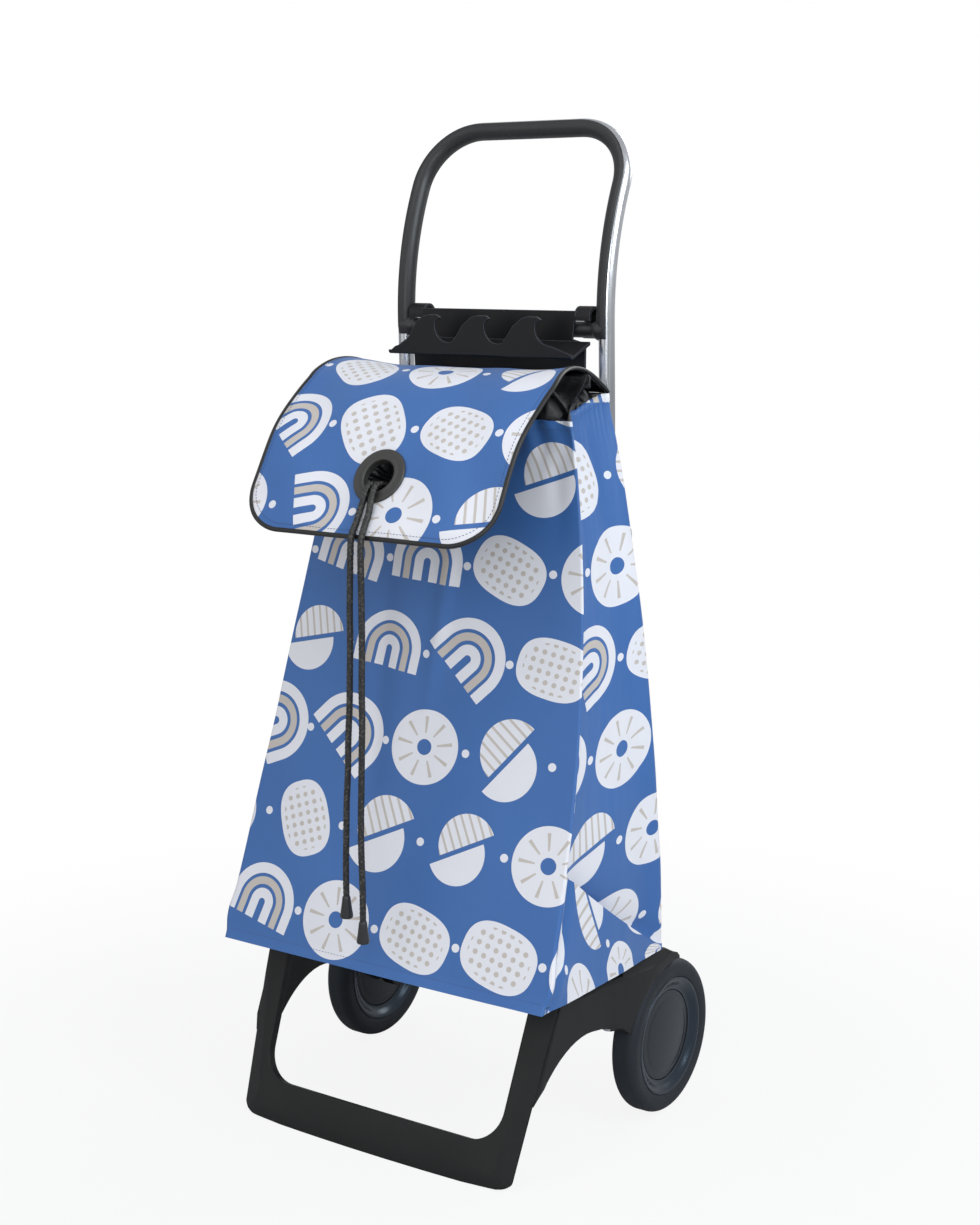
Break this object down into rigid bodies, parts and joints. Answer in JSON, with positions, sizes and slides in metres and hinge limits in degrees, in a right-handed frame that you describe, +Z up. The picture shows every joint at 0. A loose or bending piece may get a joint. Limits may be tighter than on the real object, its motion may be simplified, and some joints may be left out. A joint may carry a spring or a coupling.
{
  "type": "shopping trolley on wheels",
  "caption": "Upright two-wheeled shopping trolley with a tapered cloth bag, a drop flap with an eyelet and drawcords, a tube handle and a hook rack.",
  "frame": {"origin": "centre of the bounding box, without the cords, on the floor", "axes": "+Z up, +Y from the foot towards the wheels and the handle, +X to the right of a user who walks ahead and pulls it"},
  "size_m": [0.4, 0.356, 1.01],
  "materials": {
    "base_plastic": "fine matt moulding, worn smooth at the edges",
    "tube_aluminium": "bright drawn tube with fine lengthwise lines",
    "grip_plastic": "satin, lightly grained",
    "rack_plastic": "satin moulding",
    "axle_steel": "bright zinc-plated steel",
    "tyre_foam": "charcoal foam with a smooth skin",
    "hub_plastic": "glossy charcoal",
    "disc_plastic": "glossy black",
    "bush_plastic": "natural nylon",
    "printed_cloth": "plain woven polyester, mid-blue with an off-white and beige print",
    "black_nylon": "thin black nylon taffeta",
    "black_lining": "black coated lining",
    "board": "black fibreboard",
    "piping_cloth": "black bias tape with an over-edge stitch",
    "eyelet_plastic": "satin black moulding",
    "cord_braid": "black braided polyester",
    "cord_tip_plastic": "semi-gloss black",
    "rivet_plastic": "black nylon"
  },
  "bodies": {
    "chassis": {"base_moulding": "base_plastic", "frame_tube": "tube_aluminium", "handle_grip": "grip_plastic", "hook_rack": "rack_plastic", "axle": "axle_steel", "axle_nuts": "axle_steel", "axle_spacers": "bush_plastic", "bag_body": "printed_cloth", "bag_base_board": "board", "bag_collar": "black_nylon", "bag_rivets": "rivet_plastic", "tube_loop_left": "black_lining", "tube_loop_right": "black_lining", "flap_root": "printed_cloth"},
    "wheel_left": {"tyre_left": "tyre_foam", "hub_left": "hub_plastic", "bush_left": "bush_plastic", "outer_disc_left": "disc_plastic", "inner_disc_left": "disc_plastic"},
    "wheel_right": {"tyre_right": "tyre_foam", "hub_right": "hub_plastic", "bush_right": "bush_plastic", "outer_disc_right": "disc_plastic", "inner_disc_right": "disc_plastic"},
    "flap": {"flap_panel": "printed_cloth", "flap_lining": "black_lining", "flap_piping": "piping_cloth", "eyelet_front": "eyelet_plastic", "eyelet_back": "eyelet_plastic", "cord_left": "cord_braid", "cord_right": "cord_braid", "cord_tip_left": "cord_tip_plastic", "cord_tip_right": "cord_tip_plastic"}
  },
  "joints": [
    {"name": "wheel_left_spin", "type": "hinge", "parent": "chassis", "child": "wheel_left", "pos_m": [-0.184, 0.09285, 0.08], "axis": [1, 0, 0], "continuous": true},
    {"name": "wheel_right_spin", "type": "hinge", "parent": "chassis", "child": "wheel_right", "pos_m": [0.184, 0.09285, 0.08], "axis": [1, 0, 0], "continuous": true},
    {"name": "flap_open", "type": "hinge", "parent": "chassis", "child": "flap", "pos_m": [0, 0.00299, 0.76862], "axis": [-1, 0, 0], "range_deg": [0, 120]}
  ]
}
